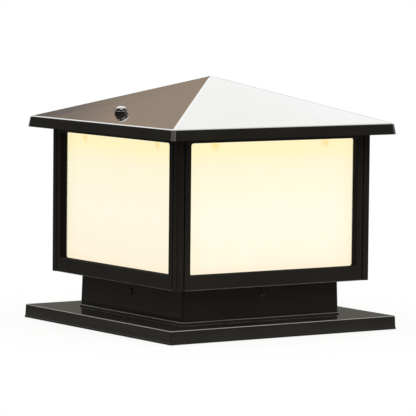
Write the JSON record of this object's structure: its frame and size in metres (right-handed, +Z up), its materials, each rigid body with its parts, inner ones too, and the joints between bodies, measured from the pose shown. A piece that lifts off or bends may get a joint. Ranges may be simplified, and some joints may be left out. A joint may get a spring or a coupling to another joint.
{
  "type": "post cap light",
  "caption": "Square deck post cap light: lit opal windows in a black lantern on a low neck and a flat base, under a polished pyramid roof with a splayed eave band.",
  "frame": {"origin": "centre of the base, on the plane that it stands on", "axes": "+Z up; the front window faces -Y and the left one -X; the roof nuts lie on the X axis"},
  "size_m": [0.3046, 0.3046, 0.2809],
  "materials": {
    "black_paint": "gloss black powder coat, slightly warm",
    "black_screw": "black zinc",
    "brass": "nickelled and plain brass",
    "bright_nut": "chrome plate",
    "galvanised": "galvanised sheet",
    "gland_plastic": "black nylon",
    "lamp_diffuser": "opal diffuser",
    "lamp_white": "white moulded plastic",
    "opal_sheet": "opal sheet, lit warm white from behind",
    "polished_roof": "mirror polished sheet",
    "rubber": "matt black",
    "silicone": "translucent grey silicone",
    "white_ceramic": "glazed ceramic",
    "wire_brown": "PVC insulation",
    "wire_earth": "green and yellow PVC insulation",
    "zinc_steel": "zinc plated, bright"
  },
  "bodies": {
    "lantern": {"base_plate": "black_paint", "base_rail_left": "galvanised", "base_rail_right": "galvanised", "corner_post_back_left": "black_paint", "corner_post_back_right": "black_paint", "corner_post_front_left": "black_paint", "corner_post_front_right": "black_paint", "earth_bolt": "zinc_steel", "earth_wire": "wire_earth", "face_frame_back": "black_paint", "face_frame_front": "black_paint", "face_frame_left": "black_paint", "face_frame_right": "black_paint", "floor_collar": "black_paint", "gland_body": "gland_plastic", "gland_locknut": "gland_plastic", "gland_seal": "rubber", "head_ring": "galvanised", "holder_contact": "brass", "holder_shell": "brass", "lamp_bracket": "galvanised", "lamp_holder": "white_ceramic", "lamp_wires": "wire_brown", "lantern_floor": "galvanised", "neck": "black_paint", "neck_foot_bolts": "zinc_steel", "neck_foot_nuts": "zinc_steel", "neck_gasket": "rubber", "opal_panel_back": "opal_sheet", "opal_panel_front": "opal_sheet", "opal_panel_left": "opal_sheet", "opal_panel_right": "opal_sheet", "panel_clips": "galvanised", "panel_seal_back": "silicone", "panel_seal_front": "silicone", "panel_seal_left": "silicone", "panel_seal_right": "silicone", "panel_stops": "galvanised", "ring_screws": "zinc_steel", "roof_gasket": "rubber", "roof_studs": "zinc_steel", "small_screws": "zinc_steel", "terminal_block": "white_ceramic"},
    "roof": {"roof_skin": "polished_roof", "eave_band": "black_paint", "roof_spacers": "galvanised", "taper_washers": "bright_nut"},
    "roof_nut_left": {"roof_nut_left": "bright_nut"},
    "roof_nut_right": {"roof_nut_right": "bright_nut"},
    "lamp": {"lamp_cap": "brass", "lamp_body": "lamp_white", "lamp_globe": "lamp_diffuser"},
    "gland_cap": {"gland_cap": "gland_plastic"},
    "neck_screw_front": {"neck_screw_front": "black_screw"},
    "neck_screw_right": {"neck_screw_right": "black_screw"},
    "neck_screw_back": {"neck_screw_back": "black_screw"},
    "neck_screw_left": {"neck_screw_left": "black_screw"}
  },
  "joints": [
    {"name": "roof_lift", "type": "slide", "parent": "lantern", "child": "roof", "axis": [0, 0, 1], "range_m": [0, 0.12]},
    {"name": "roof_nut_left_turn", "type": "hinge", "parent": "roof", "child": "roof_nut_left", "pos_m": [-0.12, 0, 0.243], "axis": [0, 0, 1], "continuous": true},
    {"name": "roof_nut_right_turn", "type": "hinge", "parent": "roof", "child": "roof_nut_right", "pos_m": [0.12, 0, 0.243], "axis": [0, 0, 1], "continuous": true},
    {"name": "lamp_turn", "type": "hinge", "parent": "lantern", "child": "lamp", "pos_m": [0, 0, 0.11], "axis": [0, 0, 1], "continuous": true},
    {"name": "gland_cap_turn", "type": "hinge", "parent": "lantern", "child": "gland_cap", "pos_m": [0, 0.044, 0.043], "axis": [0, 0, 1], "continuous": true},
    {"name": "neck_screw_front_turn", "type": "hinge", "parent": "lantern", "child": "neck_screw_front", "pos_m": [0, -0.1045, 0.042], "axis": [0, -1, 0], "continuous": true},
    {"name": "neck_screw_right_turn", "type": "hinge", "parent": "lantern", "child": "neck_screw_right", "pos_m": [0.1045, 0, 0.042], "axis": [1, 0, 0], "continuous": true},
    {"name": "neck_screw_back_turn", "type": "hinge", "parent": "lantern", "child": "neck_screw_back", "pos_m": [0, 0.1045, 0.042], "axis": [0, 1, 0], "continuous": true},
    {"name": "neck_screw_left_turn", "type": "hinge", "parent": "lantern", "child": "neck_screw_left", "pos_m": [-0.1045, 0, 0.042], "axis": [-1, 0, 0], "continuous": true}
  ]
}
